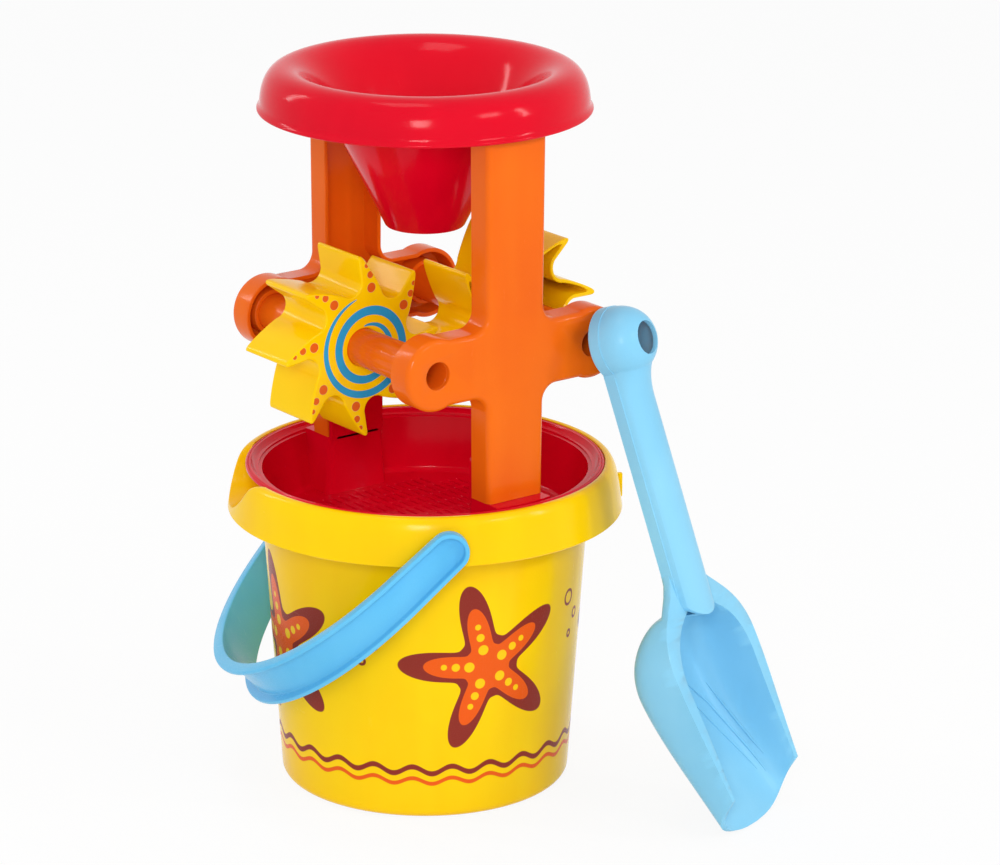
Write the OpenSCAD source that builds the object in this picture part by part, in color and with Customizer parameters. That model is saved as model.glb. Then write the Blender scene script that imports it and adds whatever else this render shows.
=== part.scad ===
// Sand wheel toy: a bucket with a bail, a sieve tray, two cross frames that carry
// two sand wheels, a funnel on top and a shovel that leans on the front frame.
// Millimetres, +Z up, origin on the tower's axis at the ground under the bucket.

/* [Bucket] */
// Radius of the wall at the foot
foot_r = 66.2; // [64:0.2:67]
// Radius of the wall where it passes under the rim
neck_r = 74.5; // [74:0.1:75]
// Height of the rim's lower edge
skirt_z = 128.2; // [126:0.2:130]
// Height of the top of the rim
rim_z = 149.6; // [149.4:0.1:150]
// Radius of the rim at its lower edge
skirt_r = 90; // [89:0.5:91]
// Thickness of the moulded walls
wall = 1.8; // [1.6:0.1:2]
// Radius of the rounded pouring spout
spout_r = 30; // [26:1:34]
// Height of the floor of the pouring spout
spout_z = 131; // [130:0.5:136]

/* [Bail] */
// Direction of the bail's pivot axis, seen from above
bail_azimuth = 240; // [236:1:244]
// Height of the bail's pivots
bail_z = 137; // [136:0.5:138]
// Distance from pivot to pivot over the outside, halved
bail_r = 96.8; // [96:0.2:98]
// Straight length of each arm
bail_leg = 28; // [20:1:34]
// Half of the band's width at the pivots
bail_end_w = 8.8; // [8:0.2:9.6]
// Half of the band's width at the grip
bail_grip_w = 11.4; // [10:0.2:12]
// Depth of the band's channel
bail_depth = 4.4; // [3.5:0.1:4.6]
// How far the bail hangs below level
bail_hang = 44; // [40:1:46]
// Radius of the pivot pins
pin_r = 4; // [3.5:0.1:4.5]

/* [Sieve tray] */
// Radius of the tray's flange
tray_r = 81.8; // [81:0.1:81.9]
// Height of the flange's top
tray_z = 149.4; // [149.2:0.1:149.6]
// Height of the upper face of the sieve
sieve_z = 121.2; // [120:0.2:124]
// Distance between the sieve's slots across the tray
slot_pitch = 4.6; // [4:0.2:6]
// Width of a slot
slot_w = 2.4; // [2:0.1:2.8]
// Length of a slot
slot_l = 9; // [7:0.5:9.5]

/* [Frames] */
// Distance of the frames' outer faces from the middle
frame_y = 68; // [67:0.5:69]
// Depth of a frame's shell
frame_depth = 13; // [12:0.5:14]
// Half of a post's width at the foot
post_foot_w = 15.2; // [14.5:0.1:15.6]
// Half of a post's width at the top
post_top_w = 16.3; // [15.8:0.1:16.8]
// Height of the top of the posts
post_top_z = 318; // [316:0.5:320]
// Distance of the wheel axles from the middle
axle_x = 43; // [42:0.5:44]
// Height of the wheel axles
axle_z = 213; // [210:0.5:216]
// Radius of the bosses at the ends of the arms
boss_r = 16.5; // [16:0.5:17]
// Half of an arm's height
arm_h = 15; // [14:0.5:15.5]
// Radius of the fillets between arms and post
fillet_r = 7.5; // [6:0.5:9]

/* [Wheels] */
// Outer radius of an axle tube
axle_r = 8.6; // [8:0.1:9]
// Bore of an axle tube
axle_bore_r = 6.2; // [5.6:0.1:6.6]
// Radius of a wheel at the tips of its rays
tip_r = 41.5; // [40:0.1:41.8]
// Length of a wheel along its axle
wheel_l = 32; // [30:0.5:34]
// Number of rays on a wheel
rays = 8; // [8]
// Running clearance of a wheel on its axle
run_gap = 0.06; // [0.04:0.01:0.1]

/* [Funnel] */
// Height of the top of the funnel
funnel_z = 333; // [332:0.2:334]
// Height of the outlet
outlet_z = 260; // [258:0.5:262]
// Outer radius of the outlet
outlet_r = 18; // [17:0.5:18]
// Radius of the flared lip
lip_r = 75; // [74.5:0.1:75.5]
// Height of the flared lip
lip_z = 313.3; // [312.8:0.1:313.8]

/* [Shovel] */
// Length from the scoop's lip to the middle of the head
shovel_l = 222.6; // [218:0.2:226]
// Radius of the round head
head_r = 16.5; // [16:0.5:17]
// Radius of the hole in the head
head_hole_r = 7.5; // [7:0.1:8.6]
// Width of the handle
handle_w = 23; // [22:0.5:24]
// Length of the trough, from its lip to where its rims reach the handle
trough_l = 117; // [114:1:120]
// Width of the trough over its rims
trough_w = 71.2; // [68:0.4:74]
// Depth of the trough under its rims
trough_d = 31; // [28:1:33]
// Width of the trough's mouth between its rims
mouth_w = 55.6; // [52:0.4:57]
// Depth of the handle's straight sides
handle_d = 5.6; // [5:0.2:7]

/* [Hidden] */
$fn = 120;

yellow = [0.98, 0.80, 0.02];
orange = [0.93, 0.44, 0.07];
red = [0.86, 0.02, 0.12];
blue = [0.55, 0.81, 0.93];

foot_round = 4.2;               // radius of the bucket's lower edge
floor_t = 2.2;                  // thickness of the bucket's floor
seat_z = tray_z - 2;            // ledge that the tray's flange lies on
tray_wall_r = 75.8;             // outside of the tray's wall at the flange
tray_foot_r = 70.6;             // outside of the tray's wall at the sieve
sieve_t = 1.8;
sieve_r = 60;                   // radius of the tray's slotted middle
plinth_z = 148.4;               // tops of the blocks that the posts stand on
plinth_foot_w = 17.2;           // half of a block's width at the sieve
plinth_top_w = 14.9;            // half of a block's width at its top
plinth_y = 52.6;                // inner face of a block
apron_t = 2.1;                  // thickness of the plate that closes a post's open side
stub_h = 20;                    // height of the tongue inside a post's foot
tongue_gap = 0.2;               // room round a tongue in its post
frame_wall = 2;
socket_wall = 2;                // wall of the ring that holds an axle tube
plate_t = 2;                    // thickness of a wheel's face
tip_cut = 4.6;                  // length of the rounding at a ray's tip
tip_over = 2.7;                 // how far a ray's straight sides would meet beyond its tip
left_y = -12.4;                 // face of the left wheel
right_y = -17;                  // open side of the right wheel
left_turn = 4;                  // angle of the left wheel's first ray
right_turn = 5;                 // angle of the right wheel's first ray
funnel_t = 2;
shovel_foot = [78, -144.5, 4.54];
shovel_lean = 18.5;             // how far the shovel leans back
shovel_yaw = 25.5;              // direction it leans in
shovel_twist = -5.3;            // turn about its own length
dome_y = 16;                    // how far the head's dome stands out
rim_front_y = -12.4;            // plane of the trough's rims at the lip
rim_slope = 0.12;               // how much that plane falls back along the trough
rim_lip_z = 15;                 // where the rims end, above the lip
lip_bow = 4;                    // how far the lip bows out in its middle
trough_square = 0.45;           // 1 is a round section, less is a boxy one
trough_t = 2;                   // thickness of the trough at its floor
lip_fade_z = 40;                // height at which the sections run straight across
rear_z = 72;                    // height from which the trough closes up towards the handle
floor_round_z = 84;             // height from which its floor curves up
mouth_end = 101;                // where the two sides of its mouth meet

// points of an arc from angle a to angle b
function arc(c, r, a, b, n = 12) =
    [for (i = [0:n]) let (t = a + (b - a) * i / n) [c[0] + r * cos(t), c[1] + r * sin(t)]];

// points of a curve from p to s that leaves p towards q and reaches s from r
function bend(p, q, r, s, n = 12) =
    [for (i = [0:n]) let (t = i / n, u = 1 - t)
        u * u * u * p + 3 * u * u * t * q + 3 * u * t * t * r + t * t * t * s];

function turned(p, a) = [p[0] * cos(a) - p[1] * sin(a), p[0] * sin(a) + p[1] * cos(a)];

function mirrored(pts) = [for (i = [len(pts) - 1:-1:0]) [-pts[i][0], pts[i][1]]];

// where the line through p along d meets the line through q along e
function meet(p, d, q, e) =
    let (k = d[0] * e[1] - d[1] * e[0], w = q - p)
    p + d * (w[0] * e[1] - w[1] * e[0]) / k;

// ---- bucket ----

wall_slope = (neck_r - foot_r) / (skirt_z - foot_round);
flare_r = 80.4;                 // outside of the wall where it joins the rim
rim_under_z = seat_z - wall;

function rim_outside() = bend([skirt_r, skirt_z], [88.6, 136], [88.2, rim_z], [83.2, rim_z], 14);

function rim_inside() =
    bend([83, rim_under_z], [86.2, rim_under_z], [86.7, 135], [skirt_r - wall, skirt_z], 14);

function bucket_profile() = concat(
    [[0, 0]],
    arc([foot_r - foot_round, foot_round], foot_round, -90, 0, 8),
    [[neck_r, skirt_z], [flare_r, rim_under_z]],
    rim_inside(),
    rim_outside(),
    [[tray_r + 0.3, rim_z], [tray_r + 0.3, seat_z], [flare_r - wall, seat_z],
     [neck_r - wall, skirt_z - 0.6], [foot_r - wall, foot_round],
     [foot_r - foot_round, floor_t], [0, floor_t]]);

// everything that the rim's outline encloses, from the middle of the wall outwards
module rim_envelope() {
    rotate_extrude() polygon(concat(
        [[neck_r - 0.7, skirt_z], [skirt_r, skirt_z]], rim_outside(),
        [[tray_r + 0.3, rim_z], [tray_r + 0.3, seat_z], [flare_r - 0.7, seat_z]]));
}

// places something round so that it points outwards in a direction, at a height
module along(azimuth, z) {
    translate([0, 0, z]) rotate([0, 0, azimuth]) rotate([0, 90, 0]) children();
}

module spout_cut(r) {
    along(bail_azimuth - 90, spout_z + spout_r)
        translate([0, 0, 66]) cylinder(r = r, h = 30);
}

module bucket() {
    color(yellow) difference() {
        union() {
            difference() {
                rotate_extrude() polygon(bucket_profile());
                spout_cut(spout_r);
            }
            intersection() {
                rim_envelope();
                difference() {
                    spout_cut(spout_r + wall);
                    spout_cut(spout_r);
                }
            }
            // bosses that stiffen the rim round the pivot holes
            intersection() {
                rim_envelope();
                for (side = [0, 180])
                    along(bail_azimuth + side, bail_z)
                        translate([0, 0, 80]) cylinder(r = pin_r + 3, h = 12);
            }
            // small fin on the rim opposite the spout
            rotate([0, 0, bail_azimuth + 90])
                translate([87, -1.2, skirt_z]) cube([4, 2.4, 11.3]);
        }
        for (side = [0, 180])
            along(bail_azimuth + side, bail_z)
                translate([0, 0, 82]) cylinder(r = pin_r + run_gap, h = 12);
    }
}

// ---- bail ----

bail_in_r = bail_r - bail_depth - 1.6;

// the band's outline seen square to the bail's plane, arms along +Y
module bail_outline(r) {
    union() {
        translate([0, bail_leg]) intersection() {
            circle(r = r);
            translate([-r, 0]) square([2 * r, r]);
        }
        translate([-r, -bail_end_w]) square([2 * r, bail_leg + bail_end_w]);
    }
}

// the band's outline seen along the pivot axis, narrower by the lip
module bail_side(lip) {
    reach = bail_leg + bail_r;
    union() {
        circle(r = bail_end_w - lip);
        polygon([[0, -bail_end_w + lip], [reach + 2, -bail_grip_w + lip],
                 [reach + 2, bail_grip_w - lip], [0, bail_end_w - lip]]);
    }
}

module bail_side_block(lip) {
    rotate([90, 0, 90]) linear_extrude(220, center = true) bail_side(lip);
}

module bail_flat() {
    difference() {
        intersection() {
            linear_extrude(40, center = true) difference() {
                bail_outline(bail_r);
                translate([0, -0.01]) bail_outline(bail_in_r);
                translate([-bail_in_r, -20]) square([2 * bail_in_r, 40]);
            }
            bail_side_block(0);
        }
        intersection() {
            linear_extrude(40, center = true) difference() {
                translate([0, -5]) bail_outline(bail_r + 5);
                bail_outline(bail_r - bail_depth);
                translate([-bail_r + bail_depth, -20]) square([2 * (bail_r - bail_depth), 40]);
            }
            bail_side_block(2);
        }
    }
    // pivot pins on the inside of the arms
    for (side = [-1, 1])
        rotate([0, 90 * side, 0])
            translate([0, 0, 83]) cylinder(r = pin_r, h = bail_in_r - 83 + 0.5);
}

module bail_handle() {
    color(blue)
        translate([0, 0, bail_z]) rotate([0, 0, bail_azimuth - 180]) rotate([-bail_hang, 0, 0])
            bail_flat();
}

// ---- sieve tray ----

function tray_outside() = [
    [tray_foot_r - 1.5, sieve_z - sieve_t], [tray_foot_r, sieve_z - sieve_t + 1.5],
    [tray_wall_r, seat_z], [tray_r, seat_z], [tray_r, tray_z]];

function tray_inside() = concat(
    arc([73.86, 152.99], 6.6, -32.9, -86.2, 8),
    arc([tray_foot_r - 4.7, sieve_z + 3], 3, 0, -90, 8));

// slots over the whole floor, except under the posts' blocks
module slots() {
    rows = floor(58 / slot_pitch);
    for (i = [-rows:rows]) for (j = [-5:5]) {
        x = i * slot_pitch;
        y = j * (slot_l + 2);
        far = norm([abs(x) + slot_w / 2, abs(y) + slot_l / 2]);
        clear_of_blocks = abs(x) > plinth_foot_w + 2 || abs(y) + slot_l / 2 < plinth_y - 1;
        if (far < sieve_r && clear_of_blocks)
            translate([x - slot_w / 2, y - slot_l / 2]) square([slot_w, slot_l]);
    }
}

// all that lies inside the middle of the tray's wall
module tray_core() {
    rotate_extrude() polygon([[0, sieve_z - 1], [tray_foot_r - 0.9, sieve_z - 1],
        [tray_wall_r - 0.9, 146.9], [tray_wall_r - 0.4, 147.7], [78.6, 148], [78.6, 150], [0, 150]]);
}

// a tapered block with the plate that closes the open side of the post on it
module plinth() {
    intersection() {
        translate([0, plinth_y + 30, 0]) rotate([90, 0, 0]) linear_extrude(30)
            polygon([[-plinth_foot_w, sieve_z - 1], [plinth_foot_w, sieve_z - 1],
                     [plinth_top_w, plinth_z], [-plinth_top_w, plinth_z]]);
        tray_core();
    }
    corner = 4;
    w = plinth_top_w - 0.3;
    top = plinth_z + stub_h;
    translate([0, plinth_y + apron_t, 0]) rotate([90, 0, 0]) linear_extrude(apron_t)
        polygon(concat([[-w, plinth_z - 1], [w, plinth_z - 1]],
            arc([w - corner, top - corner], corner, 0, 90, 6),
            arc([corner - w, top - corner], corner, 90, 180, 6)));
}

module sieve_tray() {
    foot_in = frame_y - frame_depth + 0.6;
    stub_w = post_foot_w - frame_wall - tongue_gap;
    stub_l = frame_depth - frame_wall - 0.6 - tongue_gap;
    color(red) difference() {
        union() {
            rotate_extrude() polygon(concat(
                [[0, sieve_z - sieve_t]], tray_outside(), tray_inside(), [[0, sieve_z]]));
            // blocks that the posts stand on, with tongues that plug into the posts
            for (side = [0, 180]) rotate([0, 0, side]) {
                plinth();
                translate([-stub_w, foot_in, plinth_z - 1]) cube([2 * stub_w, stub_l, stub_h + 1]);
                // ties the plate to the tongue behind it
                translate([-stub_w + 4, plinth_y + 1, plinth_z - 1])
                    cube([2 * stub_w - 8, foot_in - plinth_y, stub_h - 3]);
            }
        }
        translate([0, 0, sieve_z - sieve_t - 1]) linear_extrude(sieve_t + 2) slots();
        // the blocks and tongues are hollow from below
        for (side = [0, 180]) rotate([0, 0, side]) {
            translate([-plinth_top_w + 1.8, plinth_y + 1.8, sieve_z - 4])
                cube([2 * plinth_top_w - 3.6, 11.4, plinth_z - sieve_z + 2.2]);
            translate([-stub_w + 1.6, foot_in + 1.6, plinth_z - 4])
                cube([2 * stub_w - 3.2, stub_l - 3.2, stub_h + 2.4]);
        }
    }
}

// ---- frames ----

// right half of a frame's outline, drawn inwards by t and ending at the heights lo and hi
function frame_half(t, lo, hi) =
    let (mid_w = post_foot_w + 0.4,
         f = fillet_r + t,
         low = axle_z - arm_h + t,
         high = axle_z + arm_h - t,
         side = mid_w - t,
         b = boss_r - t,
         open = acos((arm_h - t) / b))
    concat(
        [[post_foot_w - t, lo]],
        arc([side + f, low - f], f, 180, 90, 8),
        arc([axle_x, axle_z], b, -90 - open, 90 + open, 28),
        arc([side + f, high + f], f, 270, 180, 8),
        [[post_top_w - t, hi]]);

module frame_outline(t, lo, hi) {
    polygon(concat(frame_half(t, lo, hi), mirrored(frame_half(t, lo, hi))));
}

// a frame with its outer face towards -Y
module cross_frame() {
    difference() {
        translate([0, -frame_y + frame_depth, 0]) rotate([90, 0, 0])
            linear_extrude(frame_depth) frame_outline(0, plinth_z + 0.1, post_top_z);
        translate([0, -frame_y + frame_depth + 1, 0]) rotate([90, 0, 0])
            linear_extrude(frame_depth - frame_wall + 1)
                frame_outline(frame_wall, plinth_z - 1, post_top_z + 1);
        for (side = [-1, 1])
            translate([side * axle_x, 0, axle_z]) rotate([90, 0, 0])
                cylinder(r = axle_bore_r, h = frame_y + 1);
    }
    // rings that hold the ends of the axle tubes
    for (side = [-1, 1])
        translate([side * axle_x, -frame_y + frame_depth - 2, axle_z]) rotate([90, 0, 0])
            difference() {
                cylinder(r = axle_r + socket_wall, h = frame_depth - frame_wall - 1.5);
                translate([0, 0, -1])
                    cylinder(r = axle_r + 0.02, h = frame_depth - frame_wall + 2);
            }
}

module front_frame() {
    color(orange) cross_frame();
}

module back_frame() {
    color(orange) rotate([0, 0, 180]) cross_frame();
}

// ---- axles and wheels ----

module axle_tube(x) {
    end_y = frame_y - frame_wall - 0.05;
    color(orange)
        translate([x, end_y, axle_z]) rotate([90, 0, 0]) difference() {
            cylinder(r = axle_r, h = 2 * end_y);
            translate([0, 0, -1]) cylinder(r = axle_bore_r, h = 2 * end_y + 2);
        }
}

module left_axle() {
    axle_tube(-axle_x);
}

module right_axle() {
    axle_tube(axle_x);
}

step = 360 / rays;
scoop_c = [30.5, 4.8];          // middle of the round bay beside a ray that points along +X
scoop_r = 6.2;

// one ray and its bay, drawn inwards by t
function ray_points(t) =
    let (tip = [tip_r + tip_over, 0],
         back_knee = turned([29.6, 17.5], -step),        // bends the ray's long back
         back_root = turned(scoop_c + scoop_r * [cos(141), sin(141)], -step),
         hook_root = scoop_c + scoop_r * [cos(-95), sin(-95)],
         back_dir = (tip - back_knee) / norm(tip - back_knee),
         hook_dir = (hook_root - tip) / norm(hook_root - tip),
         back_in = t * [-back_dir[1], back_dir[0]],
         hook_in = t * [-hook_dir[1], hook_dir[0]],
         tip_in = meet(tip + back_in, back_dir, tip + hook_in, hook_dir),
         cut = t > 0 ? 1.6 : tip_cut,
         before = tip_in - cut * back_dir,
         after = tip_in + cut * hook_dir,
         round = 0.45,
         bay = arc(scoop_c, scoop_r + t, 265, 141, 12),
         last = turned(bay[12], -step),
         knee = (back_knee + back_root) / 2 + back_in * 0.9)
    concat(
        bend(last, knee, (back_knee + before + back_in * 0.4) / 2, before, 6),
        bend(before, before + round * (tip_in - before), after + round * (tip_in - after), after, 6),
        bay);

function sun_points(t) = [for (k = [0:rays - 1]) for (p = ray_points(t)) turned(p, step * k)];

// a wheel with its face at y = 0 and its rays hooked counter-clockwise, seen from the front
module sun_wheel() {
    rotate([90, 0, 0]) translate([0, 0, -wheel_l]) difference() {
        union() {
            difference() {
                linear_extrude(wheel_l) polygon(sun_points(0));
                translate([0, 0, -1]) linear_extrude(wheel_l - plate_t + 1)
                    polygon(sun_points(wall));
            }
            cylinder(r = axle_r + 2.4, h = wheel_l);
        }
        translate([0, 0, -1]) cylinder(r = axle_r + run_gap, h = wheel_l + 2);
    }
}

module left_wheel() {
    color(yellow) translate([-axle_x, left_y, axle_z]) rotate([0, -left_turn, 0]) sun_wheel();
}

module right_wheel() {
    color(yellow) translate([axle_x, right_y + wheel_l, axle_z])
        rotate([0, -right_turn, 0]) rotate([0, 0, 180]) sun_wheel();
}

// ---- funnel ----

function funnel_outside() = concat(
    [[outlet_r, outlet_z]],
    bend([44.2, 313], [49, 322.5], [54, funnel_z - funnel_t], [62, funnel_z - funnel_t], 10),
    bend([62, funnel_z - funnel_t], [67.4, funnel_z - funnel_t], [71.3, 326], [71.7, 316.4], 10),
    [[lip_r - 2, lip_z]]);

function funnel_inside() = concat(
    [[lip_r, lip_z]],
    bend([73.7, 316.4], [73.3, 326.8], [69.4, funnel_z], [62, funnel_z], 12),
    bend([62, funnel_z], [53, funnel_z], [46.6, 322], [42, 313], 12),
    [[outlet_r - 2.2, outlet_z]]);

module funnel() {
    socket_y = frame_y - frame_depth + 0.6;
    color(red) {
        rotate_extrude() polygon(concat(funnel_outside(), funnel_inside()));
        // tongues that plug into the tops of the posts, and ribs that rest on the posts
        intersection() {
            rotate_extrude()
                polygon(concat([[48, 290]], [[71, 290]], [[71, 320]],
                    bend([70.8, 322], [68, 329], [66, funnel_z - 1], [62, funnel_z - 1], 8),
                    [[56, funnel_z - 2], [48, 318.4]]));
            for (side = [0, 180]) rotate([0, 0, side]) {
                translate([-post_foot_w + frame_wall + tongue_gap, socket_y, post_top_z - 14])
                    difference() {
                        cube([2 * (post_foot_w - frame_wall - tongue_gap),
                              frame_depth - frame_wall - 0.6 - tongue_gap, 30]);
                        translate([1.8, 1.6, -1])
                            cube([2 * (post_foot_w - frame_wall - tongue_gap) - 3.6,
                                  frame_depth - frame_wall - 4, 32]);
                    }
                for (x = [-post_foot_w, post_foot_w - 1.8])
                    translate([x, socket_y - 3, post_top_z + 0.1]) cube([1.8, 16, 20]);
            }
        }
    }
}

// ---- shovel ----

// half of the trough's width over its rims, by the height above the lip
function rim_curve() = let (half = trough_w / 2, end = handle_w / 2)
    concat(bend([-10, half * 0.81], [30, half * 0.84], [52, half], [76, half], 10),
           bend([76, half], [100, half], [106, end], [trough_l, end], 10));

// the trough's depth under its rims
function depth_curve() =
    concat(bend([-10, trough_d * 0.43], [23, trough_d * 0.76], [45, trough_d - 1], [65, trough_d], 10),
           bend([65, trough_d], [80, trough_d + 1], [100, 17], [100.2, 6], 10), [[trough_l, 6]]);

// half of the width of its mouth
function mouth_curve() = let (half = mouth_w / 2)
    concat(bend([-10, half], [20, half - 0.2], [45, half - 0.2], [68, half + 1], 8),
           bend([68, half + 1], [88, half + 1], [97, 16], [mouth_end, 0.4], 10));

function rim_y(z) = rim_front_y + rim_slope * z;

// a point of a boxy section at angle a, from one rim over the back to the other
function boxy(w, d, z, a) =
    let (c = cos(a), s = sin(a))
    [w * sign(c) * pow(abs(c), trough_square), rim_y(z) + d * pow(max(s, 0), trough_square), z];

// height of the lip at angle a: lowest in the middle of the floor
function lip_at(a) =
    let (c = pow(abs(cos(a)), trough_square), s = pow(max(sin(a), 0), trough_square))
    rim_lip_z * (1 - s) - lip_bow * (1 - c * c) * s;

// height of a point of the trough: straight across at the back, along the lip at the front
function station(z, a) = z + lip_at(a) * max(0, 1 - z / lip_fade_z);

function outer_point(z, a) =
    let (h = station(z, a)) boxy(lookup(h, rim_curve()), lookup(h, depth_curve()), h, a);

// the inside follows the outside and closes in a quarter round under the handle
function inner_point(z, a) =
    let (h = station(z, a), k = max(0, h - floor_round_z) / (mouth_end + 0.4 - floor_round_z))
    boxy(lookup(h, mouth_curve()), (lookup(h, depth_curve()) - trough_t) * sqrt(1 - k * k), h, a);

// the trough as one closed shell, each section going round the outside and back inside
module trough() {
    turns = [for (a = [0:7.5:180]) a];
    rows = [for (i = [0:12]) rear_z * i / 12];
    rear = [for (a = [10:10:90]) sin(a)];
    outer = concat(rows, [for (k = rear) rear_z + 28.4 * k], [103.5, 108, 112.5, trough_l]);
    inner = concat(rows, [for (k = rear) rear_z + 26 * k], [98.8, 99.6, 100.4, mouth_end]);
    n = 2 * len(turns);
    m = len(outer);
    points = [for (i = [0:m - 1]) for (j = [0:n - 1])
        j < n / 2 ? outer_point(outer[i], turns[j]) : inner_point(inner[i], turns[n - 1 - j])];
    skin = [for (i = [0:m - 2]) for (j = [0:n - 1])
        let (k = (j + 1) % n) [i * n + j, (i + 1) * n + j, (i + 1) * n + k, i * n + k]];
    lip = [for (j = [0:n / 2 - 2]) [j, j + 1, n - 2 - j, n - 1 - j]];
    back = [for (j = [0:n / 2 - 2])
        [for (k = [n - 1 - j, n - 2 - j, j + 1, j]) (m - 1) * n + k]];
    polyhedron(points, concat(skin, lip, back));
}

// an arch across the handle with straight sides, drawn inwards by t
module handle_section(t) {
    w = handle_w / 2 - t;
    front = bend([w, 0], [w * 0.92, -4.4 + t * 0.6], [w * 0.5, -7 + t], [0, -7 + t], 8);
    back = t > 0 ? handle_d + 1 : handle_d;
    polygon(concat([[w, back]], front, mirrored(concat([[w, back]], front))));
}

module handle_bar() {
    z0 = trough_l - 22.4;
    l = shovel_l - z0;
    intersection() {
        translate([0, 0, z0]) difference() {
            linear_extrude(l) handle_section(0);
            translate([0, 0, 2]) linear_extrude(l) handle_section(2);
        }
        // the handle's rounded end over the trough
        translate([0, 20, 0]) rotate([90, 0, 0]) linear_extrude(40) union() {
            translate([0, z0 + handle_w / 2]) circle(r = handle_w / 2);
            translate([-handle_w / 2, z0 + handle_w / 2]) square([handle_w, l]);
        }
    }
}

function dome(r, h) = bend([r, 0], [r, h * 0.6], [r * 0.62, h], [r * 0.2, h], 12);

// the shovel standing on its lip, length along +Z, open side towards -Y
module shovel_upright() {
    difference() {
        union() {
            trough();
            handle_bar();
            // round head
            translate([0, 0, shovel_l]) rotate([90, 0, 0]) rotate_extrude()
                polygon(concat([[0, -6], [head_r - 0.8, -6], [head_r, -5.2], [head_r, 0]],
                    dome(head_r, dome_y), [[0, dome_y]]));
        }
        translate([0, 10, shovel_l]) rotate([90, 0, 0]) rotate_extrude()
            polygon(concat([[0, 3], [head_r - 2, 3], [head_r - 2, 10]],
                [for (p = dome(head_r - 2, dome_y - 2)) [p[0], p[1] + 10]], [[0, dome_y + 8]]));
        translate([0, 10, shovel_l]) rotate([90, 0, 0]) cylinder(r = head_hole_r, h = 40);
    }
}

module shovel() {
    color(blue) translate(shovel_foot) rotate([-shovel_lean, 0, shovel_yaw])
        rotate([0, 0, shovel_twist]) shovel_upright();
}

bucket();
bail_handle();
sieve_tray();
front_frame();
back_frame();
left_axle();
right_axle();
left_wheel();
right_wheel();
funnel();
shovel();
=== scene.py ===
import math
import bpy
import bmesh
from mathutils import Matrix, Vector


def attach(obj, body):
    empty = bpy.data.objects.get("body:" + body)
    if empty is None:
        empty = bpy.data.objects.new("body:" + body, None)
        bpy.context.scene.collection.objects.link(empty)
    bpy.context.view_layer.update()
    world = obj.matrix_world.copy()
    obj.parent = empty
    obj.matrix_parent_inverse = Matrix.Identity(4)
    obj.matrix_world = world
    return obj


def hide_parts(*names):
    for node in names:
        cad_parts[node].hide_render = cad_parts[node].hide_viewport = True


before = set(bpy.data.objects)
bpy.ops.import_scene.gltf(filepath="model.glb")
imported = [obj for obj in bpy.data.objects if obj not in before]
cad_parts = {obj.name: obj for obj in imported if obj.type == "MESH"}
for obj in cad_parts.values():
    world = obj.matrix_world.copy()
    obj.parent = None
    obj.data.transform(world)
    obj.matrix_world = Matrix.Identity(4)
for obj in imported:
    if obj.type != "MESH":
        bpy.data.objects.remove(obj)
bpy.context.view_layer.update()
print("frame loaded:", len(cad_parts), "nodes")

mm = 0.001
sin = lambda a: math.sin(math.radians(a))
cos = lambda a: math.cos(math.radians(a))


def linear(r, g, b):
    # a colour as seen on screen, from 0 to 255, turned into light
    steps = [v / 255 for v in (r, g, b)]
    return tuple(v / 12.92 if v <= 0.04045 else ((v + 0.055) / 1.055) ** 2.4 for v in steps) + (1,)


class Wire:
    # a number on its way through a material
    def __init__(self, paint, socket):
        self.paint, self.socket = paint, socket

    def maths(self, operation, *values):
        return self.paint.node("ShaderNodeMath", {"operation": operation}, dict(enumerate(values)))

    def __add__(self, other): return self.maths("ADD", self, other)
    __radd__ = __add__
    def __sub__(self, other): return self.maths("SUBTRACT", self, other)
    def __rsub__(self, other): return self.maths("SUBTRACT", other, self)
    def __mul__(self, other): return self.maths("MULTIPLY", self, other)
    __rmul__ = __mul__
    def __truediv__(self, other): return self.maths("DIVIDE", self, other)
    def __rtruediv__(self, other): return self.maths("DIVIDE", other, self)
    def __pow__(self, other): return self.maths("POWER", self, other)
    def __mod__(self, other): return self.maths("FLOORED_MODULO", self, other)
    def __lt__(self, other): return self.maths("LESS_THAN", self, other)
    def __gt__(self, other): return self.maths("GREATER_THAN", self, other)
    def __abs__(self): return self.maths("ABSOLUTE", self)
    def least(self, other): return self.maths("MINIMUM", self, other)
    def most(self, other): return self.maths("MAXIMUM", self, other)
    def sine(self): return self.maths("SINE", self)
    def cosine(self): return self.maths("COSINE", self)
    def angle(self, other): return self.maths("ARCTAN2", self, other)
    def root(self): return self.maths("SQRT", self)
    def hypot(self, other): return (self * self + other * other).root()

    def soft(self, low, high):
        # 0 below low, 1 above high, and smooth between
        return self.paint.node("ShaderNodeMapRange", {"interpolation_type": "SMOOTHSTEP"},
                               {"Value": self, "From Min": low, "From Max": high})

    def within(self, size, blur):
        # 1 inside a size, 0 outside it, and smooth between
        return 1 - self.soft(size - blur, size + blur)


def addNode(tree, kind, settings, inputs):
    # settings go on the node first, then each socket gets its link or its value
    node = tree.nodes.new(kind)
    for key, value in (settings or {}).items():
        setattr(node, key, value)
    for key, value in (inputs or {}).items():
        if isinstance(value, Wire):
            value = value.socket
        if isinstance(value, bpy.types.NodeSocket):
            tree.links.new(value, node.inputs[key])
        else:
            node.inputs[key].default_value = value
    return node


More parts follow.
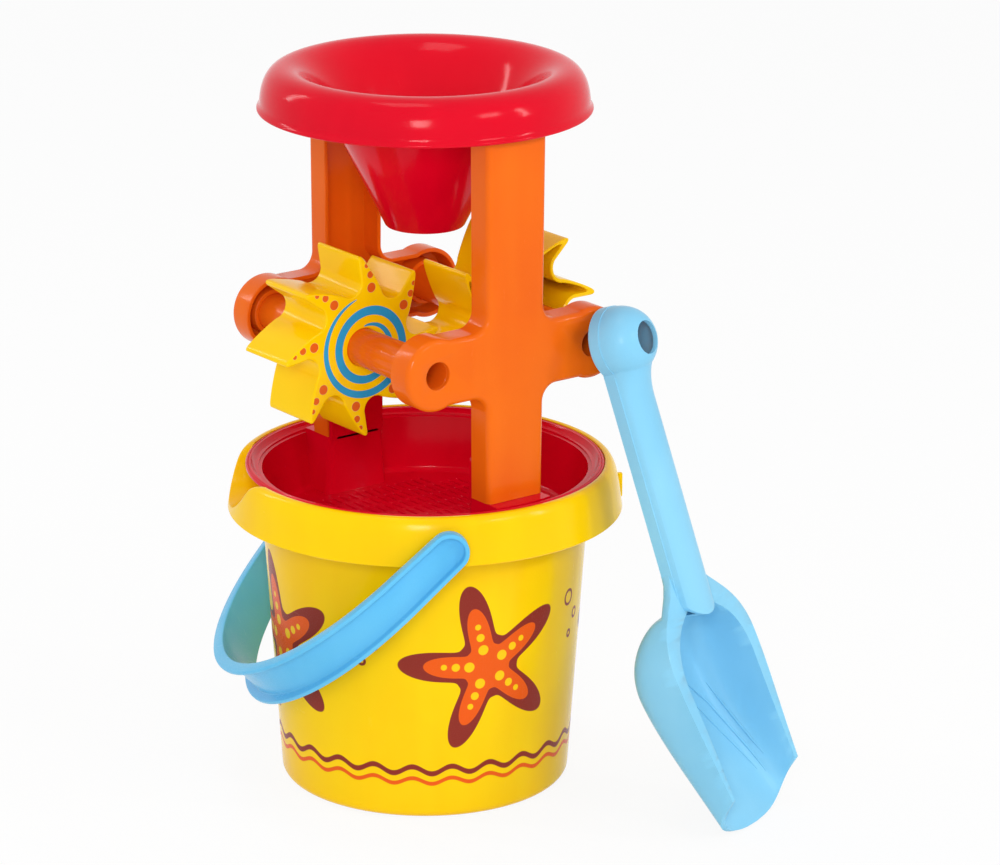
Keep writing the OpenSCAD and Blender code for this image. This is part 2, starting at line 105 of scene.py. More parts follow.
class Paint:
    # the nodes of one material, or of the tree that is given
    def __init__(self, name, tree=None):
        if tree:
            self.tree = tree
            return
        self.material = bpy.data.materials.new(name)
        self.material.use_nodes = True
        self.tree = self.material.node_tree
        self.tree.nodes.clear()
        self.place = self.node("ShaderNodeTexCoord", output="Object")
        parts = self.raw("ShaderNodeSeparateXYZ", inputs={0: self.place})
        self.x, self.y, self.z = [Wire(self, parts.outputs[i]) for i in range(3)]

    def raw(self, kind, settings=None, inputs=None):
        return addNode(self.tree, kind, settings, inputs)

    def node(self, kind, settings=None, inputs=None, output=0):
        return Wire(self, self.raw(kind, settings, inputs).outputs[output])

    def noise(self, scale, detail, stretch=(1, 1, 1), roughness=0.5):
        spot = self.node("ShaderNodeMapping", None, {"Vector": self.place, "Scale": stretch})
        return self.node("ShaderNodeTexNoise", {"noise_dimensions": "3D"},
                         {"Vector": spot, "Scale": scale, "Detail": detail, "Roughness": roughness})

    def mix(self, factor, a, b):
        return self.node("ShaderNodeMix", {"data_type": "RGBA"}, {0: factor, 6: a, 7: b}, 2)

    def finish(self, look, colour, roughness, height):
        relief = self.node("ShaderNodeBump", None,
                           {"Strength": look["bump"], "Distance": look["relief"], "Height": height})
        shader = self.node("ShaderNodeBsdfPrincipled", None,
                           {"Base Color": colour, "Roughness": roughness, "Normal": relief,
                            "IOR": look["ior"], "Specular IOR Level": look["specular"],
                            "Coat Weight": look["coat"], "Coat Roughness": look["coatRoughness"]})
        self.raw("ShaderNodeOutputMaterial", None, {0: shader})
        return self.material


# what all the plastics share, unless a plastic's own look says otherwise
glossLook = {"ior": 1.5, "specular": 0.09, "coat": 0.045, "coatRoughness": 0.08, "bump": 0.16,
             "relief": 0.0004, "cloud": 14, "flow": 60, "peel": 900, "speck": 2600, "scuff": 300,
             "flowStretch": (1, 1, 0.12), "scuffStretch": (1, 0.08, 0.3)}


def plastic(name, ownLook, artwork=None):
    # glossy moulded plastic: cloudy colour, flow lines, fine peel, a few scuffs
    look, paint = {**glossLook, **ownLook}, Paint(name)
    cloud = paint.noise(look["cloud"], 3)
    flow = paint.noise(look["flow"], 2, look["flowStretch"])
    peel = paint.noise(look["peel"], 1)
    speck = paint.noise(look["speck"], 0)
    scuffs = paint.noise(look["scuff"], 4, look["scuffStretch"], 0.7).soft(0.62, 0.72)
    colour = paint.mix(cloud.soft(0.3, 0.7), look["colour"], look["shade"])
    colour = paint.mix(flow.soft(0.35, 0.8) * 0.35, colour, look["light"])
    roughness = look["roughness"] + cloud * 0.05 + scuffs * 0.16 + speck.soft(0.6, 0.8) * 0.05
    height = peel * 0.5 + flow * 0.35 + scuffs * -0.2
    if artwork:
        ink, inkColour = artwork(paint)
        colour = paint.mix(ink, colour, inkColour)
        roughness = roughness + ink * 0.1
        height = height + ink * 0.25
    return paint.finish(look, colour, roughness, height)


yellowLook = {"colour": linear(253, 208, 3), "shade": linear(250, 198, 2), "light": linear(255, 216, 12),
              "roughness": 0.14}
orangeLook = {"colour": linear(238, 108, 16), "shade": linear(232, 98, 15), "light": linear(242, 120, 24),
              "roughness": 0.14}
redLook = {"colour": linear(222, 2, 34), "shade": linear(212, 2, 33), "light": linear(228, 8, 38),
           "roughness": 0.1}
bailLook = {"colour": linear(104, 194, 238), "shade": linear(92, 186, 234), "light": linear(118, 203, 243),
            "roughness": 0.22, "bump": 0.2}
blueLook = {"colour": linear(140, 207, 238), "shade": linear(130, 200, 234), "light": linear(150, 214, 242),
            "roughness": 0.26, "bump": 0.2}


motifLook = {"azimuth": -103.4, "count": 4, "height": 73.0, "radius": 71.0, "size": 41.0, "tilt": 14.0,
             "inner": 0.72, "dots": ((8.5, 2.4), (14.8, 1.9), (20.2, 1.4)), "swells": 24, "swell": 1.7,
             "waves": ((24.0, 1.0, 1.3), (18.7, 0.8, 1.0)),
             "bubbles": ((-5.0, 94.0, 3.4), (3.5, 84.0, 2.2), (-2.0, 75.5, 1.5)),
             "low": 12, "high": 124, "wallR": 65.0, "wallSlope": 0.0667,
             "maroon": linear(140, 48, 38), "orange": linear(234, 92, 23), "yellow": linear(250, 200, 20)}


def bucketPrint(paint):
    # starfish on the wall, over a band of waves
    look = motifLook
    step = 2 * math.pi / look["count"]
    azimuth = paint.y.angle(paint.x) - math.radians(look["azimuth"]) + step / 2
    across = ((azimuth % step) - step / 2) * look["radius"]
    up = paint.z * 1000 - look["height"]
    c, s = cos(look["tilt"]), sin(look["tilt"])
    u, v = across * c + up * s, up * c - across * s
    far, turn = u.hypot(v), u.angle(v)
    arms = (turn * 5).cosine() * 0.5 + 0.5
    star = far / ((arms ** 1.7) * 0.62 + 0.38)
    outer = star.within(look["size"], 0.25)
    inner = star.within(look["size"] * look["inner"], 0.25)
    # dots along the arms, each by its distance out and its radius
    arm = 2 * math.pi / 5
    lean = ((turn + arm / 2) % arm) - arm / 2
    side, along = far * lean.sine(), far * lean.cosine()
    dots = 0
    for spot, radius in look["dots"]:
        dots = dots + (along - spot).hypot(side).within(radius, 0.2)
    # waves round the foot
    swell = (paint.y.angle(paint.x) * look["swells"]).sine() * look["swell"]
    low = paint.z * 1000
    waveA, waveB = [abs(low - swell * rise - height).within(half, 0.2)
                    for height, rise, half in look["waves"]]
    # bubbles between the stars
    half = (((azimuth + step / 2) % step) - step / 2) * look["radius"]
    bubbles = 0
    for spot, height, radius in look["bubbles"]:
        gap = (half - spot).hypot(low - height)
        bubbles = bubbles + abs(gap - radius).within(0.65, 0.15)
    # the print lies on the outside of the wall only
    ring = paint.x.hypot(paint.y) * 1000
    wall = (ring > low * look["wallSlope"] + look["wallR"]) * (low < look["high"]) * (low > look["low"])
    ink = ((outer + waveA + waveB + bubbles).least(1)) * wall
    colour = paint.mix(inner.most(waveB), look["maroon"], look["orange"])
    return ink, paint.mix(dots, colour, look["yellow"])


spiralLook = {"axle": (-43.0, 213.0), "shift": (2.26, -1.03), "start": 104.0, "span": 717.0,
              "far": 24.2, "slope": -15.08, "curve": 1.68, "width": 2.08, "taper": 0.45,
              "face": -12.35, "blue": linear(45, 155, 205), "orange": linear(222, 95, 25)}
dotsLook = {"rows": ((27.1, 80.8, 2.25), (33.0, 83.4, 1.65), (37.2, 87.2, 1.1)), "rays": 8}


def wheelPrint(paint):
    # a spiral that winds in twice, and three dots along each ray
    look = spiralLook
    face = paint.y * 1000 < look["face"]
    x = paint.x * 1000 - look["axle"][0]
    z = paint.z * 1000 - look["axle"][1]
    sx, sz = x - look["shift"][0], z - look["shift"][1]
    ring = sx.hypot(sz)
    turn = (sz.angle(sx) * (180 / math.pi) - look["start"]) % 360
    band = 0
    for lap in (0, 1):
        t = (turn + 360 * lap) / look["span"]
        middle = look["far"] + t * look["slope"] + t * t * look["curve"]
        half = ((t.least(1) * math.pi).sine().most(0) ** look["taper"]) * look["width"]
        band = band + (abs(ring - middle) - half).within(0, 0.15) * (t < 1)
    step = 2 * math.pi / dotsLook["rays"]
    far = x.hypot(z)
    dots = 0
    for radius, start, size in dotsLook["rows"]:
        lean = ((z.angle(x) - math.radians(start) + step / 2) % step) - step / 2
        gap = (far * lean.cosine() - radius).hypot(far * lean.sine())
        dots = dots + gap.within(size, 0.15)
    ink = (band + dots).least(1) * face
    return ink, paint.mix(dots.least(1), look["blue"], look["orange"])


def arc(cx, cy, radius, start, end, steps):
    return [(cx + radius * cos(start + (end - start) * i / steps),
             cy + radius * sin(start + (end - start) * i / steps)) for i in range(steps + 1)]


def bend(p, q, r, s, steps):
    # a curve from p to s that starts towards q and arrives from r
    points = []
    for i in range(steps + 1):
        t = i / steps
        weights = ((1 - t) ** 3, 3 * (1 - t) ** 2 * t, 3 * (1 - t) * t * t, t ** 3)
        points.append(tuple(sum(w * v[k] for w, v in zip(weights, (p, q, r, s))) for k in range(len(p))))
    return points


def makeObject(name, points, faces):
    mesh = bpy.data.meshes.new(name)
    mesh.from_pydata([tuple(v * mm for v in p) for p in points], [], faces)
    piece = bpy.data.objects.new(name, mesh)
    bpy.context.scene.collection.objects.link(piece)
    return piece


def tidy(piece, angle=32, merge=0.00002):
    mesh = piece.data
    work = bmesh.new()
    work.from_mesh(mesh)
    bmesh.ops.remove_doubles(work, verts=work.verts, dist=merge)
    bmesh.ops.dissolve_degenerate(work, edges=work.edges, dist=merge)
    bmesh.ops.recalc_face_normals(work, faces=work.faces)
    work.to_mesh(mesh)
    work.free()
    mesh.shade_smooth()
    mesh.set_sharp_from_angle(angle=math.radians(angle))
    return piece


def baked(piece):
    # the piece with its modifiers made plain mesh
    view = bpy.context.evaluated_depsgraph_get()
    mesh = bpy.data.meshes.new_from_object(piece.evaluated_get(view))
    piece.modifiers.clear()
    old = piece.data
    piece.data = mesh
    bpy.data.meshes.remove(old)
    return piece


def cut(piece, *cutters, operation="DIFFERENCE"):
    for cutter in cutters:
        step = piece.modifiers.new("cut", "BOOLEAN")
        step.operation, step.solver, step.object = operation, "EXACT", cutter
    bpy.context.view_layer.update()
    baked(piece)
    for cutter in cutters:
        bpy.data.objects.remove(cutter)
    return piece


def spin(name, profile, steps):
    # a closed profile of (radius, height) turned round +Z
    n = len(profile)
    points = [(r * cos(360 * k / steps), r * sin(360 * k / steps), z)
              for k in range(steps) for r, z in profile]
    faces = []
    for k in range(steps):
        a, b = k * n, ((k + 1) % steps) * n
        faces += [(a + i, b + i, b + (i + 1) % n, a + (i + 1) % n) for i in range(n)]
    return makeObject(name, points, faces)


def loft(name, rings, capped=True):
    # a skin over rings of equal count, with a flat face at each end
    n = len(rings[0])
    points = [p for ring in rings for p in ring]
    faces = [(i * n + j, i * n + (j + 1) % n, (i + 1) * n + (j + 1) % n, (i + 1) * n + j)
             for i in range(len(rings) - 1) for j in range(n)]
    if capped:
        faces.append(tuple(range(n - 1, -1, -1)))
        faces.append(tuple(range((len(rings) - 1) * n, len(rings) * n)))
    return makeObject(name, points, faces)


def rod(name, radius, start, end, edge=0.0, steps=48):
    # a round bar from start to end, with its ends rounded by edge
    direction = Vector(end) - Vector(start)
    turn, length = direction.to_track_quat("Z", "Y").to_matrix(), direction.length
    rows = [(radius, 0), (radius, length)]
    if edge:
        rows = arc(radius - edge, edge, edge, -90, 0, 4)
        rows += arc(radius - edge, length - edge, edge, 0, 90, 4)
    circle = [360 * k / steps for k in range(steps)]
    return loft(name, [[tuple(Vector(start) + turn @ Vector((r * cos(a), r * sin(a), z))) for a in circle]
                       for r, z in rows])


def edged(piece, width, angle):
    # its edges sharper than the angle are rounded
    soften = piece.modifiers.new("edge", "BEVEL")
    soften.limit_method, soften.angle_limit = "ANGLE", math.radians(angle)
    soften.width, soften.segments, soften.use_clamp_overlap = width * mm, 3, True
    bpy.context.view_layer.update()
    return baked(piece)


def roundBox(name, low, high, edge):
    points = [(x, y, z) for x in (low[0], high[0]) for y in (low[1], high[1]) for z in (low[2], high[2])]
    faces = [(0, 1, 3, 2), (4, 6, 7, 5), (0, 4, 5, 1), (2, 3, 7, 6), (0, 2, 6, 4), (1, 5, 7, 3)]
    piece = makeObject(name, points, faces)
    soften = piece.modifiers.new("edge", "BEVEL")
    soften.width, soften.segments = edge * mm, 3
    bpy.context.view_layer.update()
    return baked(piece)


def join(name, *pieces):
    work = bmesh.new()
    for piece in pieces:
        work.from_mesh(piece.data)
    mesh = bpy.data.meshes.new(name)
    work.to_mesh(mesh)
    work.free()
    for piece in pieces:
        bpy.data.objects.remove(piece)
    whole = bpy.data.objects.new(name, mesh)
    bpy.context.scene.collection.objects.link(whole)
    return whole


def lathe(name, rows, x, z, steps=72, closed=False):
    # a profile of (radius, y) turned round a line along Y through (x, z)
    rings = [[(x + r * cos(360 * k / steps), y, z + r * sin(360 * k / steps)) for k in range(steps)]
             for r, y in rows]
    if closed:
        rings.append(rings[0])
    return tidy(loft(name, rings, not closed))


def turnMesh(piece, matrix):
    piece.data.transform(matrix)
    piece.data.update()


def turnZ(piece, angle):
    turnMesh(piece, Matrix.Rotation(math.radians(angle), 4, "Z"))


def place(piece, body, paint, node):
    # the piece rides on its body and stands for its CAD node
    piece.data.materials.clear()
    piece.data.materials.append(paint)
    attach(piece, body)
    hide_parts(node)
    print("made", piece.name, len(piece.data.polygons), "faces")


yellowPaint = plastic("yellowBucketPlastic", yellowLook, bucketPrint)
wheelPaint = plastic("yellowWheelPlastic", {**yellowLook, "flowStretch": (1, 0.12, 1)}, wheelPrint)
plainWheelPaint = plastic("yellowPlainPlastic", {**yellowLook, "flowStretch": (1, 0.12, 1)})
orangePaint = plastic("orangePlastic", orangeLook)
redPaint = plastic("redPlastic", redLook)
bluePaint = plastic("bluePlastic", blueLook)
bailPaint = plastic("blueBailPlastic", bailLook)
print("paints mixed")


frameLook = {"outer": 68.0, "depth": 13.0, "wall": 2.0, "plate": 2.0, "edge": 2.8,
             "footW": 15.2, "topW": 16.3, "low": 148.5, "high": 318.0, "axleX": 43.0, "axleZ": 213.0,
             "boss": 16.5, "arm": 15.0,
             "fillet": 7.5, "bore": 6.2, "ringOuter": 10.6, "ringInner": 8.62, "ringLength": 9.5,
             "hollowCorner": ((1.2, 0), (0.3, 0.4), (0, 1.4)), "lipEdge": 0.4,
             "boreMouth": ((1.4, -1), (0.7, -0.02), (0.12, 0.35), (0, 0.9), (0, 6))}


def frameHalf(inset):
    # right half of a frame's outline, from its foot to its top
    look = frameLook
    side, fillet = look["footW"] + 0.4 - inset, look["fillet"] + inset
    low, high = look["axleZ"] - look["arm"] + inset, look["axleZ"] + look["arm"] - inset
    boss = look["boss"] - inset
    opening = math.degrees(math.acos((look["arm"] - inset) / boss))
    return ([(look["footW"] - inset, look["low"])]
            + arc(side + fillet, low - fillet, fillet, 180, 90, 12)
            + arc(look["axleX"], look["axleZ"], boss, -90 - opening, 90 + opening, 44)
            + arc(side + fillet, high + fillet, fillet, 270, 180, 12)
            + [(look["topW"] - inset, look["high"])])


def crossFrame(name, back):
    # one shell: in along the hollow, over its lip and round the front; open at both ends of the post
    look = frameLook
    wall, soft, edge = look["wall"], look["lipEdge"], look["edge"]
    face, lip = -look["outer"], -look["outer"] + look["depth"]
    rows = [(wall + a, face + look["plate"] + b) for a, b in look["hollowCorner"]]
    rows += [(wall, lip - soft), (wall - soft, lip), (soft, lip), (0, lip - soft)]
    rows += [(edge - p, face + edge - q) for p, q in arc(0, 0, edge, 0, 90, 7)]
    points, faces = [], []
    for inset, y in rows:
        half = frameHalf(inset)
        points += [(x, y, z) for x, z in half] + [(-x, y, z) for x, z in reversed(half)]
    count, top, last = 2 * len(half), len(half) - 1, len(rows) - 1
    for i in range(last):
        a, b = i * count, (i + 1) * count
        faces += [(a + j, a + j + 1, b + j + 1, b + j) for j in range(count - 1) if j != top]
    faces.append(tuple(range(count - 1, -1, -1)))
    faces.append(tuple(last * count + j for j in range(count)))
    for a, b in ((0, count - 1), (top, top + 1)):
        faces.append(tuple([i * count + a for i in range(last + 1)]
                           + [i * count + b for i in range(last, -1, -1)]))
    shell = tidy(makeObject(name + "Shell", points, faces), 38)
    drills, rings = [], []
    for side in (-1, 1):
        x, z = side * look["axleX"], look["axleZ"]
        bore = [(look["bore"] + a, face + b) for a, b in look["boreMouth"]]
        bore = [(0, face - 1)] + bore + [(0, face + 6)]
        drills.append(lathe(name + "Drill", bore, x, z))
        a, b, deep = look["ringInner"], look["ringOuter"], face + look["plate"] - 0.5
        end = deep + look["ringLength"]
        ring = [(a, deep), (a, end - 0.3), (a + 0.3, end), (b - soft, end), (b, end - soft), (b, deep)]
        rings.append(lathe(name + "Ring", ring, x, z, closed=True))
    cut(shell, *drills)
    piece = tidy(join(name, shell, *rings), 38)
    if back:
        turnZ(piece, 180)
    return piece


place(crossFrame("frontCrossFrame", False), "mill", orangePaint, "front_frame")
place(crossFrame("backCrossFrame", True), "mill", orangePaint, "back_frame")


def turned(p, a):
    return Vector((p[0] * cos(a) - p[1] * sin(a), p[0] * sin(a) + p[1] * cos(a)))


def inset(loop, t):
    # a closed counter-clockwise outline drawn inwards by t
    moved = []
    for i, here in enumerate(loop):
        before, after = (here - loop[i - 1]).normalized(), (loop[(i + 1) % len(loop)] - here).normalized()
        side = Vector((-before.y - after.y, before.x + after.x))
        moved.append(here + side * (t / max(0.4, 1 + before.dot(after))))
    return moved


wheelLook = {"rays": 8, "tip": 41.5, "over": 3.3, "cut": 5.6, "innerCut": 2.2, "round": 0.48,
             "bay": (30.5, 4.8), "bayRadius": 6.2, "knee": (29.6, 17.5), "length": 32.0, "wall": 1.8,
             "plate": 2.0, "hub": 11.0, "bore": 8.66, "edge": 0.9, "rim": 0.4, "axleX": 43.0,
             "axleZ": 213.0, "leftY": -12.4, "rightY": -17.0, "leftTurn": 4.0, "rightTurn": 5.0,
             "bayFrom": 265, "bayTo": 141, "bulge": 0.9, "flank": 0.4, "corner": 0.6}


def rayPoints(t):
    # one ray and the bay beside it, for the outside (t = 0) or the hollow (t = wall)
    look = wheelLook
    step = 360 / look["rays"]
    bay, r, begin, finish = Vector(look["bay"]), look["bayRadius"], look["bayFrom"], look["bayTo"]
    tip = Vector((look["tip"] + look["over"], 0))
    knee = turned(look["knee"], -step)
    backRoot = turned(bay + r * Vector((cos(finish), sin(finish))), -step)
    hookRoot = bay + r * Vector((cos(begin - 360), sin(begin - 360)))
    back, hook = (tip - knee).normalized(), (hookRoot - tip).normalized()
    backIn, hookIn = t * Vector((-back.y, back.x)), t * Vector((-hook.y, hook.x))
    gap = (tip + hookIn) - (tip + backIn)
    tipIn = tip + backIn + back * ((gap.x * hook.y - gap.y * hook.x) / (back.x * hook.y - back.y * hook.x))
    reach = look["innerCut"] if t else look["cut"]
    before, after = tipIn - reach * back, tipIn + reach * hook
    curve = [Vector(p) for p in arc(bay.x, bay.y, r + t, begin, finish, 18)]
    start = turned(curve[-1], -step)
    middle = (knee + backRoot) / 2 + backIn * look["bulge"]
    flank = bend(start, middle, (knee + before + backIn * look["flank"]) / 2, before, 12)
    leave, arrive = look["round"] * (tipIn - before), look["round"] * (tipIn - after)
    nose = bend(before, before + leave, after + arrive, after, 8)
    return [Vector(p) for p in flank[:-1] + nose] + curve[:-1]


def wheelSector():
    # an eighth of the wheel: its section goes from the bore over the face and round the rays back to the hub
    look = wheelLook
    step, length, edge, rim = 360 / look["rays"], look["length"], look["edge"], look["rim"]
    loops = {}
    for name, t in (("outside", 0), ("hollow", look["wall"])):
        ray = rayPoints(t)
        loops[name] = [turned(p, step * k) for k in range(look["rays"]) for p in ray]
    count = len(ray)
    start = math.degrees(math.atan2(loops["outside"][0].y, loops["outside"][0].x))
    rows = [("hub", look["bore"], length - rim), ("hub", look["bore"], rim), ("hub", look["bore"] + rim, 0)]
    rows += [("outside", edge - p, edge - q) for p, q in arc(0, 0, edge, 90, 0, 5)]
    rows += [("outside", 0, length - rim), ("outside", rim, length), ("hollow", -rim, length),
             ("hollow", 0, length - rim), ("hollow", 0, look["plate"] + look["corner"]),
             ("hollow", look["corner"], look["plate"]),
             ("hub", look["hub"], look["plate"]), ("hub", look["hub"], length - rim),
             ("hub", look["hub"] - rim, length), ("hub", look["bore"] + rim, length)]
    rings = []
    for kind, value, y in rows:
        if kind == "hub":
            flat = [(value * cos(start + step * i / count), value * sin(start + step * i / count))
                    for i in range(count + 1)]
        else:
            flat = inset(loops[kind], value)[:count + 1]
        rings.append([(p[0], y, p[1]) for p in flat])
    n = count + 1
    points = [p for ring in rings for p in ring]
    faces = []
    for i, (kind, value, y) in enumerate(rows):
        other = (i + 1) % len(rows)
        if kind != rows[other][0] and "hub" in (kind, rows[other][0]):
            # the flat plate between hub and rays is one face
            faces.append(tuple([i * n + j for j in range(n)] + [other * n + j for j in range(n - 1, -1, -1)]))
        else:
            faces += [(i * n + j, i * n + j + 1, other * n + j + 1, other * n + j) for j in range(n - 1)]
    return makeObject("wheelSector", points, faces)


class Growth:
    # a geometry node tree with named inputs, put on a piece as a modifier
    def __init__(self, name, inputs):
        self.tree = bpy.data.node_groups.new(name, "GeometryNodeTree")
        self.sockets = {}
        for label, kind in {"Geometry": "Geometry", "Paint": "Material", **inputs}.items():
            self.sockets[label] = self.tree.interface.new_socket(label, in_out="INPUT",
                                                                 socket_type="NodeSocket" + kind)
        self.tree.interface.new_socket("Geometry", in_out="OUTPUT", socket_type="NodeSocketGeometry")
        self.start, self.end = self.tree.nodes.new("NodeGroupInput"), self.tree.nodes.new("NodeGroupOutput")

    def given(self, label):
        return self.start.outputs[label]

    def node(self, kind, settings=None, inputs=None, output=0):
        return addNode(self.tree, kind, settings, inputs).outputs[output]

    def maths(self, operation, *values):
        return self.node("ShaderNodeMath", {"operation": operation}, dict(enumerate(values)))

    def copies(self, spots, **more):
        # the piece at each spot, as real mesh
        placed = self.node("GeometryNodeInstanceOnPoints", None,
                           {"Points": spots, "Instance": self.given("Geometry"), **more})
        return self.node("GeometryNodeRealizeInstances", None, {"Geometry": placed})

    def finish(self, result):
        painted = self.node("GeometryNodeSetMaterial", None,
                            {"Geometry": result, "Material": self.given("Paint")})
        self.tree.links.new(painted, self.end.inputs[0])
        return self

    def grow(self, piece, **values):
        step = piece.modifiers.new("grow", "NODES")
        step.node_group = self.tree
        for label, value in values.items():
            step[self.sockets[label].identifier] = value
        bpy.context.view_layer.update()
        return baked(piece)


def roundGrowth():
    # the piece repeated round the Y axis, its seams merged
    growth = Growth("repeatRound", {"Count": "Int"})
    spots = growth.node("GeometryNodePoints", None, {"Count": growth.given("Count")})
    part = growth.maths("DIVIDE", growth.node("GeometryNodeInputIndex"), growth.given("Count"))
    around = growth.node("ShaderNodeCombineXYZ", None, {"Y": growth.maths("MULTIPLY", part, 2 * math.pi)})
    whole = growth.copies(spots, Rotation=around)
    return growth.finish(growth.node("GeometryNodeMergeByDistance", None,
                                     {"Geometry": whole, "Distance": 0.00002}))


def sandWheel(name, paint, x, y, turn, flipped):
    piece = roundGrowth().grow(wheelSector(), Count=wheelLook["rays"], Paint=paint)
    piece.name = name
    tidy(piece, 40)
    if flipped:
        turnZ(piece, 180)
    turnMesh(piece, Matrix.Translation(Vector((x, y, wheelLook["axleZ"])) * mm)
             @ Matrix.Rotation(math.radians(-turn), 4, "Y"))
    return piece


place(sandWheel("leftSandWheel", wheelPaint, -wheelLook["axleX"], wheelLook["leftY"],
                wheelLook["leftTurn"], False),
      "left_wheel", wheelPaint, "left_wheel")
place(sandWheel("rightSandWheel", plainWheelPaint, wheelLook["axleX"],
                wheelLook["rightY"] + wheelLook["length"], wheelLook["rightTurn"], True),
      "right_wheel", plainWheelPaint, "right_wheel")

axleLook = {"radius": 8.6, "bore": 6.2, "end": 65.95, "outerEdge": 0.6, "innerEdge": 0.4}


def axleTube(name, x):
    look = axleLook
    a, b, e, far, near = look["bore"], look["radius"], look["end"], look["outerEdge"], look["innerEdge"]
    half = [(b, e - far), (b - far, e), (a + near, e), (a, e - near)]
    rows = [(r, -y) for r, y in reversed(half)] + [(b, 0)] + half
    return lathe(name, rows, x, frameLook["axleZ"], closed=True)


for side, x in (("left", -frameLook["axleX"]), ("right", frameLook["axleX"])):
    place(axleTube(side + "AxleTube", x), "mill", orangePaint, side + "_axle")


trayLook = {"flange": 81.8, "top": 149.4, "seat": 147.4, "wall": 75.8, "foot": 70.6, "sieve": 121.2,
            "thick": 1.8, "blockFoot": 17.2, "blockTop": 14.9, "blockY": 52.6, "blockZ": 148.4,
            "blockCorner": 3.4, "plate": 2.1, "plateTop": 168.4, "plateCorner": 4.0,
            "pitch": 4.6, "slotWidth": 1.2, "slotLength": 9.0, "rowPitch": 11.0, "slotted": 60.0,
            "columns": 25, "rows": 11, "slotRound": 0.5, "footRound": 1.5, "rimRound": 0.9,
            "groove": (73.86, 152.99, 6.6), "tongueHalf": 12.9, "tongueY": (54, 65.7)}


def slotGrowth():
    # a slot shape repeated over the sieve, left out under the posts' blocks
    growth = Growth("sieveSlots", {"Columns": "Int", "Rows": "Int", "Pitch": "Float", "Row pitch": "Float",
                                   "Radius": "Float", "Block width": "Float", "Block start": "Float"})
    maths, given = growth.maths, growth.given
    wide = maths("MULTIPLY", maths("SUBTRACT", given("Columns"), 1), given("Pitch"))
    deep = maths("MULTIPLY", maths("SUBTRACT", given("Rows"), 1), given("Row pitch"))
    grid = growth.node("GeometryNodeMeshGrid", None,
                       {"Size X": wide, "Size Y": deep,
                        "Vertices X": given("Columns"), "Vertices Y": given("Rows")})
    spot = growth.node("GeometryNodeInputPosition")
    across, along = [maths("ABSOLUTE", growth.node("ShaderNodeSeparateXYZ", None, {0: spot}, i))
                     for i in (0, 1)]
    half = maths("ADD", along, trayLook["slotLength"] * mm / 2)
    far = maths("SQRT", maths("ADD", maths("MULTIPLY", across, across), maths("MULTIPLY", half, half)))
    outside = maths("GREATER_THAN", far, given("Radius"))
    under = maths("MULTIPLY", maths("LESS_THAN", across, given("Block width")),
                  maths("GREATER_THAN", half, given("Block start")))
    kept = growth.node("GeometryNodeDeleteGeometry", {"domain": "POINT"},
                       {"Geometry": grid, "Selection": maths("MAXIMUM", outside, under)})
    return growth.finish(growth.copies(growth.node("GeometryNodeMeshToPoints", None, {"Mesh": kept})))


def sieveSlots():
    look = trayLook
    w, l, r, s = look["slotWidth"] / 2, look["slotLength"] / 2, look["slotRound"], look["sieve"]
    outline = []
    for cx, cy, start in ((w - r, l - r, 0), (r - w, l - r, 90), (r - w, r - l, 180), (w - r, r - l, 270)):
        outline += arc(cx, cy, r, start, start + 90, 3)
    # a little wider at the top, so that each slot has a soft edge
    rings = [[(x * k, y * q, z) for x, y in outline]
             for z, k, q in ((s - 4, 1, 1), (s - 0.3, 1, 1), (s + 0.05, 1.35, 1.05), (s + 1, 1.35, 1.05))]
    cutter = loft("sieveSlots", rings)
    return slotGrowth().grow(cutter, **{
        "Columns": look["columns"], "Rows": look["rows"], "Pitch": look["pitch"] * mm,
        "Row pitch": look["rowPitch"] * mm, "Radius": look["slotted"] * mm,
        "Block width": (look["blockFoot"] + 2) * mm, "Block start": (look["blockY"] - 1) * mm,
        "Paint": redPaint})


def block(name):
    # tapered block that a post stands on; its outer side follows the tray's wall
    look = trayLook
    rings = []
    for i in range(9):
        t = i / 8
        z = look["sieve"] - 1 + t * (look["blockZ"] - look["sieve"] + 1)
        w = look["blockFoot"] + t * (look["blockTop"] - look["blockFoot"])
        reach = look["foot"] - 0.8 + t * (look["wall"] - look["foot"])
        corner = look["blockCorner"]
        ring = arc(corner - w, look["blockY"] + corner, corner, 180, 270, 6)
        ring += arc(w - corner, look["blockY"] + corner, corner, 270, 360, 6)
        spread = math.degrees(math.asin(w / reach))
        ring += arc(0, 0, reach, 90 - spread, 90 + spread, 12)
        rings.append([(x, y, z) for x, y in ring])
    return tidy(loft(name, rings), 40)


def apron(name):
    # plate that closes the open side of the post
    look = trayLook
    w, top, corner, edge = look["blockTop"] - 0.3, look["plateTop"], look["plateCorner"], 0.5
    rings = []
    for grow, y in ((-edge, 0), (-edge * 0.3, edge * 0.3), (0, edge), (0, look["plate"])):
        ring = [(-w - grow, look["blockZ"] - 1), (w + grow, look["blockZ"] - 1)]
        ring += arc(w - corner, top - corner, corner + grow, 0, 90, 8)
        ring += arc(corner - w, top - corner, corner + grow, 90, 180, 8)
        rings.append([(x, look["blockY"] + y, z) for x, z in ring])
    return tidy(loft(name, rings), 40)


